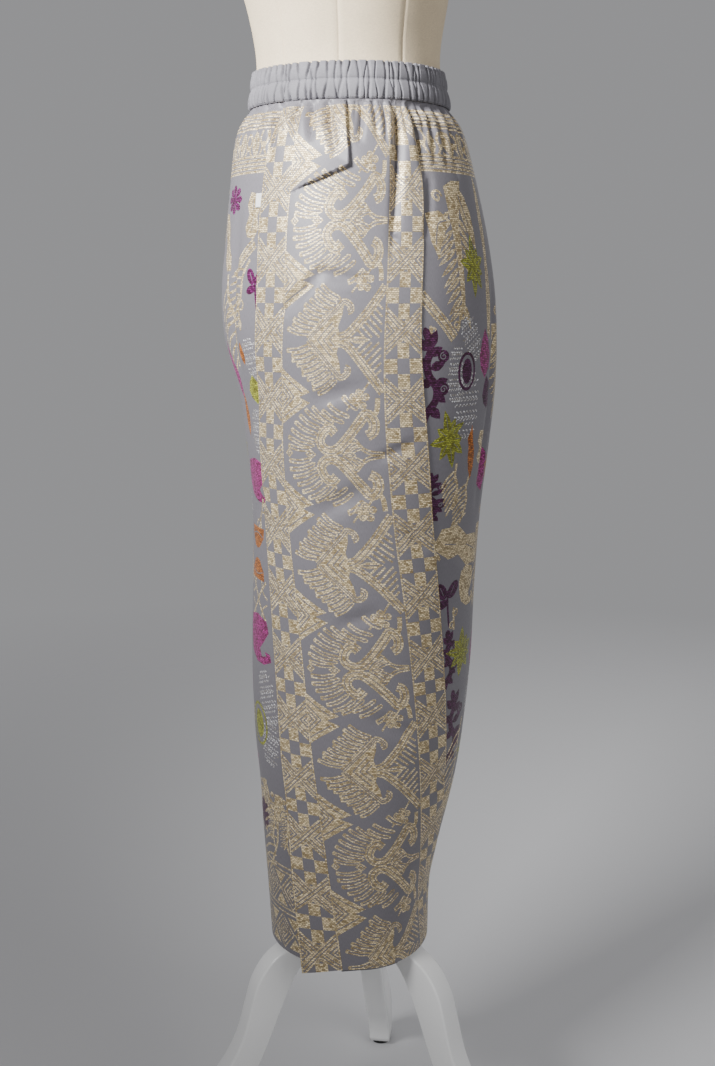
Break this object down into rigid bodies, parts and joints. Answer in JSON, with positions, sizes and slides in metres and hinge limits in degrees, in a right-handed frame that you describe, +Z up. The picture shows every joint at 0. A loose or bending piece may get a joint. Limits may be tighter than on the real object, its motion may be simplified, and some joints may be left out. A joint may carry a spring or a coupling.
{
  "type": "songket skirt on a limbless dress form and stand",
  "caption": "Long tapering metallic-brocade skirt with a gathered elastic waistband, worn on a limbless dress form that stands on a pole and splayed curved legs.",
  "frame": {"origin": "on the floor, at the centre of the whole part's footprint", "axes": "+Z up; the form faces -X, and -Y is the wearer's left side, which the side panel covers"},
  "size_m": [0.4236, 0.3994, 1.7454],
  "materials": {
    "plain_cotton": "plain lilac-grey cotton satin",
    "gold_brocade": "lilac-grey satin with cream-gold metallic weft floats",
    "coloured_brocade": "lilac-grey satin with gold, silver and coloured weft floats",
    "white_tape": "plain white woven tape",
    "linen": "unbleached linen, closely woven",
    "white_paint": "wood painted satin white",
    "white_steel": "steel tube painted satin white",
    "black_rubber": "matt black rubber"
  },
  "bodies": {
    "root": {"waistband": "plain_cotton", "side_panel": "gold_brocade", "front_panel": "coloured_brocade", "back_panel": "coloured_brocade", "hem_facing": "plain_cotton", "side_label": "white_tape", "form_torso": "linen", "neck_cap": "white_paint", "form_pole": "white_steel", "stand_hub": "white_paint", "leg_left": "white_paint", "leg_right": "white_paint", "leg_rear": "white_paint", "foot_left": "black_rubber", "foot_right": "black_rubber", "foot_rear": "black_rubber"}
  },
  "joints": []
}
